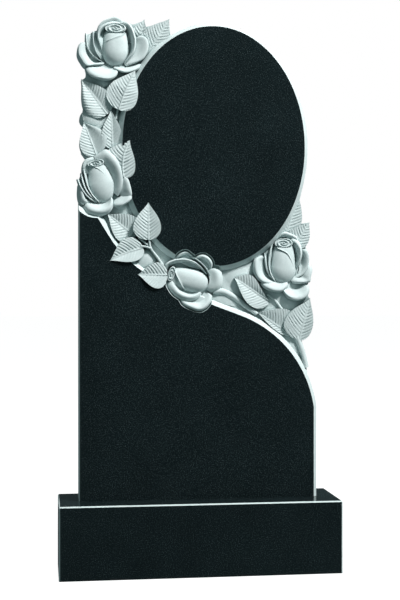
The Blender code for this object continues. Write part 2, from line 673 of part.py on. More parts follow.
def collected(name, objects):
    collection = bpy.data.collections.new(name)
    collection.hide_render = True
    bpy.context.scene.collection.children.link(collection)
    for obj in objects:
        collection.objects.link(obj)
    return collection


def fill_pockets(bm):
    """Fills pockets closed in between the petals: of the separate shells only the largest is kept."""
    waiting = set(bm.faces)
    shells = []
    while waiting:
        shell = [waiting.pop()]
        for face in shell:
            near = {other for edge in face.edges for other in edge.link_faces} & waiting
            waiting -= near
            shell += near
        shells.append(shell)
    shells.sort(key=len)
    spare = [face for shell in shells[:-1] for face in shell]
    bmesh.ops.delete(bm, geom=spare, context="FACES")


def tidied(obj):
    """Applies the booleans, and takes out the slivers that are left where carved forms meet at a glance."""
    cut = bpy.data.meshes.new_from_object(obj.evaluated_get(bpy.context.evaluated_depsgraph_get()))
    for finest in SLIVERS:
        bm = bmesh.new()
        bm.from_mesh(cut)
        fill_pockets(bm)
        for _ in range(SLIVER_ROUNDS):
            bmesh.ops.remove_doubles(bm, verts=bm.verts, dist=finest)
            bmesh.ops.dissolve_degenerate(bm, edges=bm.edges, dist=finest)
            bmesh.ops.triangulate(bm, faces=bm.faces)
        closed = all(len(edge.link_faces) == 2 for edge in bm.edges)
        if closed:
            bm.to_mesh(cut)
        bm.free()
        if closed:
            break
    obj.modifiers.clear()
    obj.data = cut
    fewer = obj.modifiers.new("merge flat triangles", "DECIMATE")
    fewer.ratio = KEPT_SHARE


def carved_ground(outline):
    """What is cut away in front of the carved ground: all but the two polished faces."""
    low, high = outline.min(axis=0) - ABOVE_FACE, outline.max(axis=0) + ABOVE_FACE
    block = np.array([(low[0], low[1] - ABOVE_FACE), (high[0], low[1] - ABOVE_FACE), (high[0], high[1]),
                      (low[0], high[1])])
    ground_lift = LIFT_STEPS * (1 - GROUND_DEPTH / RELIEF_DEPTH)
    ground = stacked("carved_ground", [(block, ground_lift), (block, LIFT_STEPS + ABOVE_FACE)])
    oval = stacked("oval_face", face_loops(oval_loop(), lambda loop, by: oval_loop(by)))
    panel = stacked("panel_face", face_loops(panel_loop(), grown))
    collected("polished_faces", [oval, panel])
    boolean(ground, "leave the oval", "DIFFERENCE", oval)
    boolean(ground, "leave the panel", "DIFFERENCE", panel)
    return ground


def slab(material):
    """The slab: its outline cut through the stone, the ground cut back, and the carving left standing."""
    outline = slab_outline()
    back = LIFT_STEPS - SLAB_THICKNESS / RELIEF_DEPTH * LIFT_STEPS
    body = stacked("slab", [(outline, back), (outline, LIFT_STEPS)], helper=False)
    body.data.materials.append(material)
    bpy.context.scene.collection.objects.link(body)
    grooves = [halo(f"groove_{name}_{k}", rose.heart, petal, k * HALO_STEP)
               for name, rose in ROSES.items() for k, petal in enumerate(rose.petals) if petal.halo]
    boolean(body, "cut the ground", "DIFFERENCE", collected("ground", [carved_ground(outline)]))
    boolean(body, "cut the grooves", "DIFFERENCE", collected("grooves", grooves))
    boolean(body, "leave the carving", "UNION", collected("carving", carvings()))
    tidied(body)
    return body


def base(material):
    """The base block, with a small chamfer on every edge but those it stands on."""
    bm = bmesh.new()
    bmesh.ops.create_cube(bm, size=1.0)
    bmesh.ops.scale(bm, vec=(BASE_WIDTH, BASE_DEPTH, BASE_HEIGHT), verts=bm.verts)
    bmesh.ops.translate(bm, vec=(0, 0, BASE_HEIGHT / 2), verts=bm.verts)
    upper = [e for e in bm.edges if max(v.co.z for v in e.verts) > BASE_HEIGHT / 2]
    bmesh.ops.bevel(bm, geom=upper, offset=BASE_CHAMFER, segments=1, affect="EDGES", profile=0.5)
    block = new_object("base", bm, helper=False)
    block.data.materials.append(material)
    bpy.context.scene.collection.objects.link(block)
    return block


clear_scene()
stone = granite()
base(stone)
slab(stone)
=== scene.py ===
"""The headstone as it looks: black granite, polished on its faces and frosted pale where it is carved."""

import json
import math

import bmesh
import bpy
import numpy as np
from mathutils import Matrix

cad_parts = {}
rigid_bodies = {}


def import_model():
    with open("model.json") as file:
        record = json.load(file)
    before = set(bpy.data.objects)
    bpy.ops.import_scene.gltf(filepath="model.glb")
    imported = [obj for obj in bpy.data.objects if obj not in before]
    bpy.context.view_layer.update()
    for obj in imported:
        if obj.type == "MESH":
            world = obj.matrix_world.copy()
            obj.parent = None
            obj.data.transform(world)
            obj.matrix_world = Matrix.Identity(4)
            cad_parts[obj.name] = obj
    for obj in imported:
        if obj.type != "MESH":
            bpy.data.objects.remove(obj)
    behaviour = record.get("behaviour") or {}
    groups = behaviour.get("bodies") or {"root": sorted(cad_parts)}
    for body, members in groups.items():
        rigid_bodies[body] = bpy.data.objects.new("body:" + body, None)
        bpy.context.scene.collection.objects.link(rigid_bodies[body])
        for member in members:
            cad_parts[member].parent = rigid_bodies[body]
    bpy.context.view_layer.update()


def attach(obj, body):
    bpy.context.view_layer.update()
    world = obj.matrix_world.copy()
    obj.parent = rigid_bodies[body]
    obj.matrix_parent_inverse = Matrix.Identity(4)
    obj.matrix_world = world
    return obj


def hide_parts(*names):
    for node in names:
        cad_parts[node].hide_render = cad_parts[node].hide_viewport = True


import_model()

# Base block, in metres.
BASE_WIDTH = 0.700
BASE_DEPTH = 0.200
BASE_HEIGHT = 0.180
BASE_CHAMFER = 0.003

# Slab, in metres.
SLAB_WIDTH = 0.600
SLAB_HEIGHT = 1.200
SLAB_THICKNESS = 0.060
SLAB_CHAMFER = 0.012
JOINT_GAP = 0.0003
WALL_DRAFT = 0.004
# The carved ground lies this far behind the polished faces, and the lowest roots of the carving this far.
GROUND_DEPTH = 0.016
RELIEF_DEPTH = 0.030
# Points of one solid that are closer than this are one point, and a triangle lower than this has no area.
WELD = 1e-6
SLIVER = 5e-7

# The carving is drawn in shares of the slab: 600 steps across it and 1200 up it, and 30 steps of lift from
# the relief's depth to the polished faces.
ACROSS_STEPS = 600
UP_STEPS = 1200
LIFT_STEPS = 30
ABOVE_FACE = 15.0
UNDER_RELIEF = 3.0
# Each carved solid goes down to a depth of its own, so that no two undersides lie in one plane.
SINK = -19.0
SINK_STEP = 0.09
BUD_SINK = 1.0
WRAP_SINK = 0.3
WHORL_SINK = 0.6

OVAL_MIDDLE = (338.0, 882.5)
OVAL_RADII = (230.5, 300.0)
OVAL_SIDES = 200
# The part of the oval that is the slab's own outline, in degrees round its middle.
OVAL_OUTLINE = (-22.0, 112.0)

SHOULDER_MIDDLE = (303.0, 185.0)
SHOULDER_RADIUS = 292.0
SHOULDER_SWEEP = 70.0
SHOULDER_SIDES = 44
# The shoulder's arc ends at least this far below the free outline on the right.
SHOULDER_CLEARANCE = 8.0
# Where the oval or the shoulder is the slab's own edge, the outline keeps this share of the chamfer's width.
OUTLINE_SHARE = 0.75

# How finely the carving is modelled.
SPLINE_STEPS = 16
PETAL_PITCH = 2.4
PETAL_COLUMNS_LEAST = 14
PETAL_ROWS = 13
GROOVE_PITCH = 3.0
GROOVE_COLUMNS_LEAST = 16
LEAF_STATIONS = 54
LEAF_ACROSS = 31
BUD_SAMPLES = 361
BUD_SPOKES = 84
BUD_RINGS = 22
WRAP_COLUMNS = 60
WRAP_ROWS = 16
WHORL_SPOKES = 72
WHORL_RINGS = 24
STEM_SECTIONS = 24
STEM_ACROSS = 11
MOUND_SPOKES = 42
MOUND_RINGS = 10

# A bud is an egg under a dome, and a petal with a raised rim is wrapped over it.
BUD_PEAK = 33.0
BUD_EDGE_LIFT = 8.0
BUD_ROUNDNESS = 3.4
BUD_FOOT_ROUNDNESS = 2.0
BUD_DOME_POWER = 2.2
WRAP_THICKNESS = 2.4
WRAP_FOOT = 1.0
WRAP_UNDER = 0.6
WRAP_RIM = 2.0
WRAP_RIM_WIDTH = 1.8
WRAP_CROWDING = 1.5

# The whorl at a bud's tip is a coiled ridge that flattens out at its rim.
WHORL_TURNS = 2.3
WHORL_LIFT = 27.5
WHORL_RIDGE = 2.9
WHORL_SHARPNESS = 1.8
WHORL_RIM = 0.9
WHORL_RIM_FALL = 0.8

# A petal droops towards the ends of its edge and falls off towards its lip, which is rounded in two steps,
# each a share of the way out and down.
PETAL_DROOP = 0.35
PETAL_FALL = 4.0
LIP_OUT = 0.8
LIP_DROP = 1.4
LIP_ROUNDING = ((0.7, 0.35), (1.0, 1.0))

# The groove round a petal that stands over a polished face.
GROOVE_BOTTOM = 20.0
GROOVE_INSET = 1.5
GROOVE_WIDTH = 5.0
GROOVE_STEP = 0.17
GROOVE_INNER = 0.4

# How a leaf is pointed, folded, curled and veined.
LEAF_ENDS = (0.012, 0.988)
LEAF_BLUNTNESS = 0.8
LEAF_POINT = 0.45
LEAF_RISE_POWER = 0.7
FOLD_STEEPNESS = 1.5
CURL_START = 0.62
VEIN_PITCH = 8.4
VEIN_DEPTH = 1.7
VEIN_SLANT = 0.55
VEIN_CURVE = 0.25
VEIN_ROUNDNESS = 0.9
VEIN_LEVEL = 0.6
VEIN_FADE = 0.35
VEIN_TIP_FADE = 10.0
VEIN_MIDRIB_FADE = 4.0
VEIN_UNEVEN = 0.3
VEIN_UNEVEN_PACE = 2.3
MIDRIB_HEIGHT = 1.8
MIDRIB_WIDTH = 1.5
MIDRIB_TAPER = 5

# The lift at a mound's edge.
MOUND_FOOT = 0.5

# How exactly a face of the cut slab lies in the front's or the back's plane, or slopes as a chamfer does.
FRONT_WITHIN = 2e-5
FRONT_NORMAL = 0.9999
BACK_WITHIN = 1e-4
BACK_NORMAL = 0.99
SLOPE_WITHIN = 0.01
# Edges with a larger angle than this are shaded sharp.
SHARP_DEGREES = 38
# The slots of the slab's materials. The bevelled one is the frosted granite with a lighter painted shade.
POLISHED, FROSTED, BEVELLED = range(3)
# The sockets of a Mix node that mixes colours.
MIX_SHARE, MIX_FIRST, MIX_SECOND, MIX_RESULT = 0, 6, 7, 2

# The camera's place in metres, its pitch and turn in degrees and its lens in millimetres. They were worked
# out from the corners of the base block in the photograph.
CAMERA_PLACE = (-0.38865, -2.98557, 0.68550)
CAMERA_PITCH = -0.14836
CAMERA_TURN = -7.51821
CAMERA_LENS = 71.585
CAMERA_SENSOR = 36.0
# Half the floor's width, in metres.
FLOOR_HALF = 40.0


class Petal:
    """A petal: its outer edge in steps, the share of the way from the rose's heart to that edge where its
    surface starts, the lifts of its root and its crest, the share of the surface where the crest is, the lift
    of the edge, and whether a groove goes round it."""

    def __init__(self, edge, inner, root, crest, share=0.85, end=None, groove=False):
        self.edge = edge
        self.inner = inner
        self.root = root
        self.crest = crest
        self.share = share
        self.end = crest - PETAL_FALL if end is None else end
        self.groove = groove


class Rose:
    """A rose in steps. Its bud is an egg round a middle that points along turn and narrows to its neck, the
    wrap is the free edge of the petal that lies over the bud on the left of that edge's course and thins out
    along it by the power fade, and the whorl is the coil at the tip: its middle, its radii and its turn."""

    def __init__(self, heart, bud, half_width, down, up, turn, neck, wrap, fade, whorl, petals):
        self.heart = heart
        self.bud = bud
        self.half_width = half_width
        self.down = down
        self.up = up
        self.turn = turn
        self.neck = neck
        self.wrap = wrap
        self.fade = fade
        self.whorl = whorl
        self.petals = petals


ROSES = {
    "top_rose": Rose(
        heart=(90, 1112), bud=(90, 1116), half_width=35, down=40, up=67, turn=89, neck=0.86,
        wrap=[(119, 1163), (106, 1153), (91, 1147), (76, 1141), (62, 1135)], fade=0.25,
        whorl=(91, 1171, 26, 12.5, 0),
        petals=[
            Petal([(43, 1158), (49, 1176), (61, 1189), (77, 1196), (92, 1199), (112, 1191)],
                  0.80, 21, 28, 0.9),
            Petal([(98, 1190), (116, 1190), (128, 1182), (137, 1163), (142, 1138), (136, 1111), (114, 1084)],
                  0.66, 10, 31, 0.84, 26),
            Petal([(138, 1146), (150, 1154), (162, 1152), (170, 1143), (172, 1127), (167, 1109), (154, 1093),
                   (118, 1078)], 0.60, 21, 30, 0.97, 29),
            Petal([(86, 1072), (100, 1065), (118, 1061), (136, 1065), (150, 1074), (155, 1084)],
                  0.62, 15, 31, 0.9, 28),
            Petal([(17, 1072), (23, 1058), (38, 1047), (58, 1042), (76, 1042), (90, 1050), (98, 1063)],
                  0.45, 15, 36, 0.93, 34),
            Petal([(16, 1136), (6, 1134), (-2, 1122), (-3, 1106), (4, 1091), (17, 1076), (40, 1078),
                   (60, 1081)], 0.58, 15, 31, 0.88, 26),
            Petal([(17, 1159), (17, 1140), (20, 1122), (30, 1106), (45, 1094), (62, 1085)],
                  0.90, 17, 28, 0.7),
            Petal([(34, 1163), (34, 1145), (36, 1128), (42, 1110), (54, 1094)], 0.90, 18, 30, 0.7),
            Petal([(59, 1108), (51, 1130), (45, 1150), (48, 1166), (60, 1179), (80, 1187), (106, 1190)],
                  0.80, 12, 31, 0.70, 27),
        ]),
    "left_rose": Rose(
        heart=(56, 785), bud=(55, 786), half_width=37.5, down=51, up=66, turn=101, neck=0.55,
        wrap=[(24, 833), (36, 828), (50, 820), (62, 809), (72, 792), (79, 770), (82, 754)],
        fade=3.0, whorl=(42, 836, 21, 9.5, 8),
        petals=[
            Petal([(38, 853), (52, 862), (66, 870), (81, 861), (97, 843), (107, 822), (111, 798), (108, 775),
                   (97, 755)], 0.32, 16, 35, 0.82, 29),
            Petal([(104, 798), (112, 804), (120, 799), (125, 786), (129, 770), (130, 756), (118, 748)],
                  0.64, 26, 34, 0.85, 33),
            Petal([(88, 728), (100, 729), (114, 735), (126, 744), (132, 754), (130, 763)],
                  0.70, 22, 35, 0.88, 33),
            Petal([(10, 726), (22, 713), (40, 707), (60, 707), (76, 715), (85, 730), (86, 746)],
                  0.55, 15, 34, 0.70, 26),
            Petal([(-2, 782), (-3, 760), (0, 742), (8, 731), (22, 728)], 0.60, 12, 27, 0.5, 14),
            Petal([(-4, 797), (2, 780), (12, 763), (26, 748), (45, 738)], 0.80, 21, 28, 0.9),
            Petal([(5, 812), (8, 792), (15, 772), (27, 755), (44, 741)], 0.80, 22, 30, 0.9),
            Petal([(11, 828), (12, 816), (15, 800), (22, 776), (34, 755), (52, 738)], 0.84, 21, 31, 0.9),
            Petal([(8, 814), (9, 832), (16, 844), (28, 850), (42, 852)], 0.66, 20, 25, 0.9),
        ]),
    "middle_rose": Rose(
        heart=(285, 548), bud=(287, 544.5), half_width=32, down=41, up=68, turn=168, neck=0.9,
        wrap=[(237, 578), (240, 565), (246, 551), (255, 534), (267, 517)], fade=0.0,
        whorl=(230, 563, 19, 9, 72),
        petals=[
            Petal([(238, 598), (246, 610), (258, 618), (270, 619), (282, 611), (292, 602)],
                  0.75, 16, 27, groove=True),
            Petal([(288, 604), (298, 610), (312, 611), (326, 603), (334, 590), (334, 574)],
                  0.70, 14, 31, 0.75, groove=True),
            Petal([(276, 606), (290, 602), (306, 590), (320, 574), (330, 556)], 0.84, 14, 33, 0.9),
            Petal([(211, 572), (216, 586), (228, 595), (246, 600), (266, 600), (288, 593), (306, 580),
                   (322, 562)], 0.72, 10, 34, 0.88),
            Petal([(334, 583), (346, 581), (356, 570), (360, 552), (358, 535), (349, 521), (334, 513)],
                  0.55, 24, 30, 0.6, 20, groove=True),
            Petal([(219, 548), (221, 532), (234, 512), (252, 500), (275, 495), (296, 501), (308, 514)],
                  0.60, 21, 34, 0.52, 27, groove=True),
            Petal([(250, 500), (258, 487), (276, 477), (300, 470), (318, 478), (330, 494), (334, 508)],
                  0.60, 16, 34, 0.84, 29, groove=True),
        ]),
    "right_rose": Rose(
        heart=(513, 585), bud=(515, 577), half_width=36, down=41, up=78, turn=88, neck=0.74,
        wrap=[(492, 638), (499, 628), (511, 622), (523, 615), (531, 603), (537, 590), (543, 576)],
        fade=0.8, whorl=(515, 641, 23, 12, 0),
        petals=[
            Petal([(500, 655), (508, 666), (520, 670), (536, 665), (549, 658), (555, 645), (560, 632)],
                  0.72, 10, 25),
            Petal([(538, 660), (552, 650), (561, 635), (564, 615), (560, 595), (551, 575)],
                  0.64, 14, 32, 0.66, 21),
            Petal([(560, 624), (570, 627), (578, 619), (581, 600), (578, 580), (567, 562), (547, 550)],
                  0.68, 13, 27, 0.9),
            Petal([(584, 592), (589, 574), (585, 556), (582, 543), (562, 539), (540, 539)],
                  0.58, 18, 30, 0.85, 26),
            Petal([(456, 611), (441, 600), (438, 580), (441, 562), (450, 548), (466, 539), (490, 534)],
                  0.62, 17, 31, 0.82, 26),
            Petal([(466, 617), (467, 600), (470, 580), (478, 561), (494, 542)], 0.78, 20, 27, 0.9),
            Petal([(487, 642), (480, 622), (476, 600), (476, 580), (482, 560), (496, 541)],
                  0.80, 19, 30, 0.9),
            Petal([(455, 538), (467, 527), (485, 519), (504, 517), (516, 523), (528, 534)],
                  0.55, 18, 34, 0.85, 29),
            Petal([(511, 522), (520, 509), (534, 499), (552, 496), (570, 502), (580, 516), (582, 534)],
                  0.62, 14, 35, 0.86, 29),
        ]),
}


class Half:
    """One half of a leaf: its reach from the midrib and rise on the way, the share of the length where it is
    widest, how hollow it is, how far its edge curls under and how deep its veins are."""

    def __init__(self, reach, rise, widest=0.33, hollow=1.0, curl=0.0, veins=1.0):
        self.reach = reach
        self.rise = rise
        self.widest = widest
        self.hollow = hollow
        self.curl = curl
        self.veins = veins


class Leaf:
    """A leaf in steps: its foot and tip, its midrib's lifts at foot, middle and tip, its left and right
    halves as seen from the foot, and how far its midrib bows to the left."""

    def __init__(self, foot, tip, lifts, left, right, bow=0.0):
        self.foot = foot
        self.tip = tip
        self.lifts = lifts
        self.left = left
        self.right = right
        self.bow = bow


LEAVES = {
    "leaf_top_right": Leaf((170, 1110), (226, 1200), (9, 18, 21), Half(38, 6), Half(32, 5)),
    "leaf_top_left": Leaf((142, 1124), (163, 1197), (6, 17, 20), Half(27, 5), Half(20, 5)),
    "leaf_oval_upper": Leaf((98, 968), (140, 1068), (31, 36, 32), Half(43, -8, hollow=1.6), Half(36, -4),
                            bow=3),
    "leaf_edge_upper": Leaf((71, 957), (6, 1046), (20, 19, 15), Half(39, 8, curl=7), Half(34, 8)),
    "leaf_behind_upper": Leaf((69, 974), (56, 1031), (15, 16, 17), Half(19, 3), Half(19, 4)),
    "leaf_edge_lower": Leaf((45, 855), (12, 938), (16, 18, 20), Half(31, 7),
                            Half(40, 10, widest=0.42, hollow=1.7, curl=4, veins=0.5)),
    "leaf_between": Leaf((84, 872), (80, 970), (16, 20, 22), Half(26, 7), Half(24, 6, veins=0.25)),
    "leaf_oval_lower": Leaf((111, 800), (127, 894), (31, 33, 32), Half(42, -9, widest=0.55, hollow=1.2),
                            Half(32, 4, veins=1.3), bow=10),
    "leaf_spray_top": Leaf((172, 646), (172, 741), (31, 33, 31), Half(38, 7), Half(31, 5)),
    "leaf_spray_left": Leaf((143, 653), (70, 712), (19, 20, 20), Half(34, 7), Half(38, 6)),
    "leaf_spray_low": Leaf((160, 627), (76, 594), (28, 29, 30),
                           Half(26.5, 7, veins=0.3), Half(35, 6), bow=-4),
    "leaf_under_rose": Leaf((220, 560), (145, 561), (28, 29, 30), Half(34, 7), Half(31, 5)),
    "leaf_right_upper": Leaf((482, 492), (388, 554), (18, 22, 24), Half(36, 8), Half(29, 6, widest=0.68)),
    "leaf_right_lower": Leaf((535, 408), (447, 468), (16, 19, 19), Half(12, 3), Half(50, 8)),
    "leaf_right_big": Leaf((556, 395), (584, 503), (20, 23, 23), Half(50, 7), Half(24, 6)),
    "leaf_far_upper": Leaf((522, 660), (556, 765), (16, 18, 19), Half(27, 5), Half(28, 5)),
    "leaf_far_lower": Leaf((545, 630), (583, 695), (16, 18, 19), Half(33, 5), Half(23, 5)),
}

# Each stem's route, its half widths at both ends and the lift of its ridge.
STEMS = {
    "stem_oval_leaf": ([(98, 976), (95, 962), (92, 948)], (3.0, 3.0), 22),
    "stem_spray": ([(174, 650), (178, 627), (192, 607), (206, 588), (216, 570)], (2.6, 3.6), 30),
    "stem_spray_left": ([(148, 652), (162, 642), (178, 627)], (2.6, 2.6), 27),
    "stem_spray_low": ([(154, 631), (165, 630), (178, 626)], (2.6, 2.6), 31),
    "stem_vine": ([(336, 520), (362, 518), (392, 503), (420, 482), (448, 462)], (9.0, 6.0), 22),
    "stem_right": ([(474, 512), (492, 499), (514, 472)], (3.5, 3.5), 20),
    "stem_end": ([(551, 404), (562, 376), (571, 346), (575, 326)], (8.0, 6.5), 22),
}

# Each mound's middle, its long and short radius, its turn in degrees and its lift.
MOUNDS = {
    "calyx_top": (62, 1055, 44, 38, 0, 20),
    "calyx_left": (104, 738, 26, 18, -20, 19),
    "calyx_right": (502, 520, 52, 42, -10, 18),
    "mound_edge": (34, 950, 32, 24, 10, 19),
    "mound_top_rose": (42, 1124, 46, 30, 70, 21),
    "mound_corner": (88, 660, 60, 18, -57, 18),
    "mound_spray": (170, 595, 42, 27, -35, 24),
    "mound_middle": (398, 560, 52, 36, 15, 17),
    "mound_lower": (372, 500, 50, 14, -18, 17),
}

# The slab's outline beside the carving, down its left side and up its right side.
LEFT_SIDE = [
    (228, 1165), (225, 1198), (186, 1184), (168, 1179), (163, 1194), (135, 1184), (124, 1187), (90, 1191),
    (62, 1182), (46, 1166), (20, 1155), (14, 1134), (2, 1120), (1, 1106), (18, 1074), (20, 1052), (8, 1042),
    (10, 1010), (12, 978), (8.5, 958), (13, 940), (8.8, 905), (5, 880), (7.2, 864), (20, 846), (10, 838),
    (7.8, 815), (0, 795), (0, 700),
]
RIGHT_SIDE = [
    (577, 322), (576, 336), (568, 362), (563, 392), (566, 400), (584, 420), (590, 450), (586, 480),
    (583, 503), (579, 512), (581, 545), (586, 574), (580, 592), (579, 616), (574, 632), (578, 650),
    (583, 694), (562, 691), (561, 715), (558, 752),
]
# The lower panel's upper edge up to the shoulder's arc, the dip at its left end, and where its sides are.
PANEL_EDGE = [(47, 700), (91, 632), (133, 588), (165, 565), (215, 538), (270, 511), (330, 486.5)]
PANEL_LEFT_DIP = [(11, 710), (22, 704), (34, 701)]
PANEL_EDGE_POINTS = 60
PANEL_LEFT_TOP = 716.0
PANEL_LEFT_INSET = 2.5
PANEL_RIGHT_INSET = 8.0


def place(points):
    """Points of the carving, (across, up, lift) in steps, as metres."""
    points = np.asarray(points, float)
    x = (points[:, 0] / ACROSS_STEPS - 0.5) * SLAB_WIDTH
    y = -SLAB_THICKNESS / 2 + RELIEF_DEPTH - points[:, 2] / LIFT_STEPS * RELIEF_DEPTH
    z = BASE_HEIGHT + JOINT_GAP + points[:, 1] / UP_STEPS * SLAB_HEIGHT
    return np.stack([x, y, z], axis=1)


def spline(points, count):
    """Evenly spaced points on a smooth curve through the given ones."""
    points = np.asarray(points, float)
    ends = np.vstack([2 * points[0] - points[1], points, 2 * points[-1] - points[-2]])
    t = np.arange(SPLINE_STEPS)[:, None] / SPLINE_STEPS
    curve = []
    for a, b, c, d in zip(ends, ends[1:], ends[2:], ends[3:]):
        curve.append(0.5 * (2 * b + (c - a) * t + (2 * a - 5 * b + 4 * c - d) * t**2
                            + (3 * b - a - 3 * c + d) * t**3))
    curve = np.vstack([*curve, points[-1:]])
    length = np.append(0.0, np.cumsum(np.linalg.norm(np.diff(curve, axis=0), axis=1)))
    wanted = np.linspace(0.0, length[-1], count)
    return np.stack([np.interp(wanted, length, curve[:, k]) for k in range(2)], axis=1)


def curve_length(points):
    """The length of a line through points."""
    return np.linalg.norm(np.diff(np.asarray(points, float), axis=0), axis=1).sum()


def grown(loop, by):
    """The loop moved out by a distance along its mitred normals."""
    ahead = np.roll(loop, -1, axis=0) - loop
    ahead /= np.linalg.norm(ahead, axis=1)[:, None]
    side = np.stack([ahead[:, 1], -ahead[:, 0]], axis=1)
    mean = side + np.roll(side, 1, axis=0)
    mitre = 2 * mean / (mean**2).sum(axis=1)[:, None]
    turned = (loop[:, 0] * np.roll(loop[:, 1], -1) - loop[:, 1] * np.roll(loop[:, 0], -1)).sum()
    return loop + mitre * by * (1 if turned > 0 else -1)


def new_object(name, points, faces):
    """A closed object that faces out, from points of the carving. It only cuts or joins the slab."""
    mesh = bpy.data.meshes.new(name)
    mesh.from_pydata(place(points).tolist(), [], faces)
    bm = bmesh.new()
    bm.from_mesh(mesh)
    bmesh.ops.remove_doubles(bm, verts=bm.verts, dist=WELD)
    bmesh.ops.triangulate(bm, faces=bm.faces)
    bmesh.ops.recalc_face_normals(bm, faces=bm.faces)
    bm.to_mesh(mesh)
    bm.free()
    return bpy.data.objects.new(name, mesh)


def stacked(name, loops):
    """A closed solid through loops of equal length, each an (across, up) array with its lift."""
    count = len(loops[0][0])
    points = np.vstack([np.column_stack([loop, np.full(count, lift)]) for loop, lift in loops])
    faces = []
    for r in range(len(loops) - 1):
        for k in range(count):
            n = (k + 1) % count
            faces.append((r * count + k, r * count + n, (r + 1) * count + n, (r + 1) * count + k))
    faces.append(list(range(count)))
    faces.append(list(range((len(loops) - 1) * count, len(loops) * count)))
    return new_object(name, points, faces)


def closed_under(name, points, faces, rim, sink):
    """A closed solid under a surface: straight sides below its rim, and a flat underside."""
    points = np.asarray(points, float)
    foot = points[rim].copy()
    foot[:, 2] = sink
    first = len(points)
    faces = list(faces)
    for k in range(len(rim)):
        n = (k + 1) % len(rim)
        faces.append((rim[k], rim[n], first + n, first + k))
    faces.append(list(range(first, first + len(rim))))
    return new_object(name, np.vstack([points, foot]), faces)


def sheet(name, grid, sink):
    """The solid under a rows by columns grid of (across, up, lift)."""
    rows, columns = grid.shape[:2]
    faces = [(r * columns + c, r * columns + c + 1, (r + 1) * columns + c + 1, (r + 1) * columns + c)
             for r in range(rows - 1) for c in range(columns - 1)]
    rim = list(range(columns))
    rim += [r * columns + columns - 1 for r in range(1, rows)]
    rim += [(rows - 1) * columns + c for c in range(columns - 2, -1, -1)]
    rim += [r * columns for r in range(rows - 2, 0, -1)]
    return closed_under(name, grid.reshape(-1, 3), faces, rim, sink)


def cap(name, outline, middle, lift_at, rings, sink):
    """The solid under a dome with a closed outline round a middle: lift_at gives the lifts of points."""
    spokes = len(outline)
    middle = np.array(middle, float)
    # Rings lie closer together near the edge, where a dome is steep.
    shares = np.sin(math.pi / 2 * np.arange(1, rings + 1) / rings)
    flat = np.vstack([middle] + [middle + (outline - middle) * share for share in shares])
    points = np.column_stack([flat, lift_at(flat)])
    faces = [(0, 1 + s, 1 + (s + 1) % spokes) for s in range(spokes)]
    for r in range(1, rings):
        for s in range(spokes):
            n = (s + 1) % spokes
            low, high = 1 + (r - 1) * spokes, 1 + r * spokes
            faces.append((low + s, high + s, high + n, low + n))
    return closed_under(name, points, faces, [1 + (rings - 1) * spokes + s for s in range(spokes)], sink)


def turned_ellipse(middle, long, short, turn, count):
    """Points round an ellipse whose long radius is turned by an angle in degrees."""
    angle = np.linspace(0, 2 * math.pi, count, endpoint=False)
    c, s = math.cos(math.radians(turn)), math.sin(math.radians(turn))
    x, y = long * np.cos(angle), short * np.sin(angle)
    return np.stack([middle[0] + x * c - y * s, middle[1] + x * s + y * c], axis=1)


def bud_reach(rose, angles):
    """How far the bud's egg reaches from its middle at angles in radians."""
    round_it = np.linspace(-math.pi, math.pi, BUD_SAMPLES)
    c, s = np.cos(round_it), np.sin(round_it)
    power = 2 / np.where(c > 0, BUD_ROUNDNESS, BUD_FOOT_ROUNDNESS)
    along = np.sign(c) * np.abs(c) ** power * np.where(c > 0, rose.up, rose.down)
    aside = np.sign(s) * np.abs(s) ** power * rose.half_width
    aside *= 1 - (1 - rose.neck) * np.clip(along / rose.up, 0, 1)
    away = (np.asarray(angles) - math.radians(rose.turn) + math.pi) % (2 * math.pi) - math.pi
    return np.interp(away, np.arctan2(aside, along), np.hypot(along, aside))


def bud_lift(rose, points):
    """The bud's lift at points: a dome over its egg."""
    off = points - np.array(rose.bud, float)
    share = np.hypot(off[:, 0], off[:, 1]) / bud_reach(rose, np.arctan2(off[:, 1], off[:, 0]))
    dome = np.sqrt(1 - np.minimum(share, 1.0) ** BUD_DOME_POWER)
    return BUD_EDGE_LIFT + (BUD_PEAK - BUD_EDGE_LIFT) * dome


def bud_outline(rose, angles, grow=0.0):
    """Points of the bud's edge at angles, moved out by a distance."""
    reach = bud_reach(rose, angles) + grow
    return np.stack([rose.bud[0] + reach * np.cos(angles), rose.bud[1] + reach * np.sin(angles)], axis=1)


def wrap_grid(rose):
    """Points of the petal wrapped over the bud, from its free edge, which stands up a little, to its hem."""
    edge = spline(rose.wrap, WRAP_COLUMNS)
    first, last = edge[0] - rose.bud, edge[-1] - rose.bud
    start, stop = math.atan2(first[1], first[0]), math.atan2(last[1], last[0])
    if start < stop:
        start += 2 * math.pi
    hem = bud_outline(rose, np.linspace(start, stop, WRAP_COLUMNS), grow=WRAP_FOOT)
    fade = (1 - np.linspace(0, 1, WRAP_COLUMNS)) ** rose.fade
    grid = np.zeros((WRAP_ROWS, WRAP_COLUMNS, 3))
    for r, share in enumerate(np.linspace(0, 1, WRAP_ROWS) ** WRAP_CROWDING):
        points = edge + (hem - edge) * share
        inward = np.linalg.norm(points - edge, axis=1)
        grid[r, :, :2] = points
        rim = WRAP_RIM * np.exp(-((inward / WRAP_RIM_WIDTH) ** 2))
        grid[r, :, 2] = bud_lift(rose, points) + (WRAP_THICKNESS + WRAP_UNDER + rim) * fade - WRAP_UNDER
    return grid


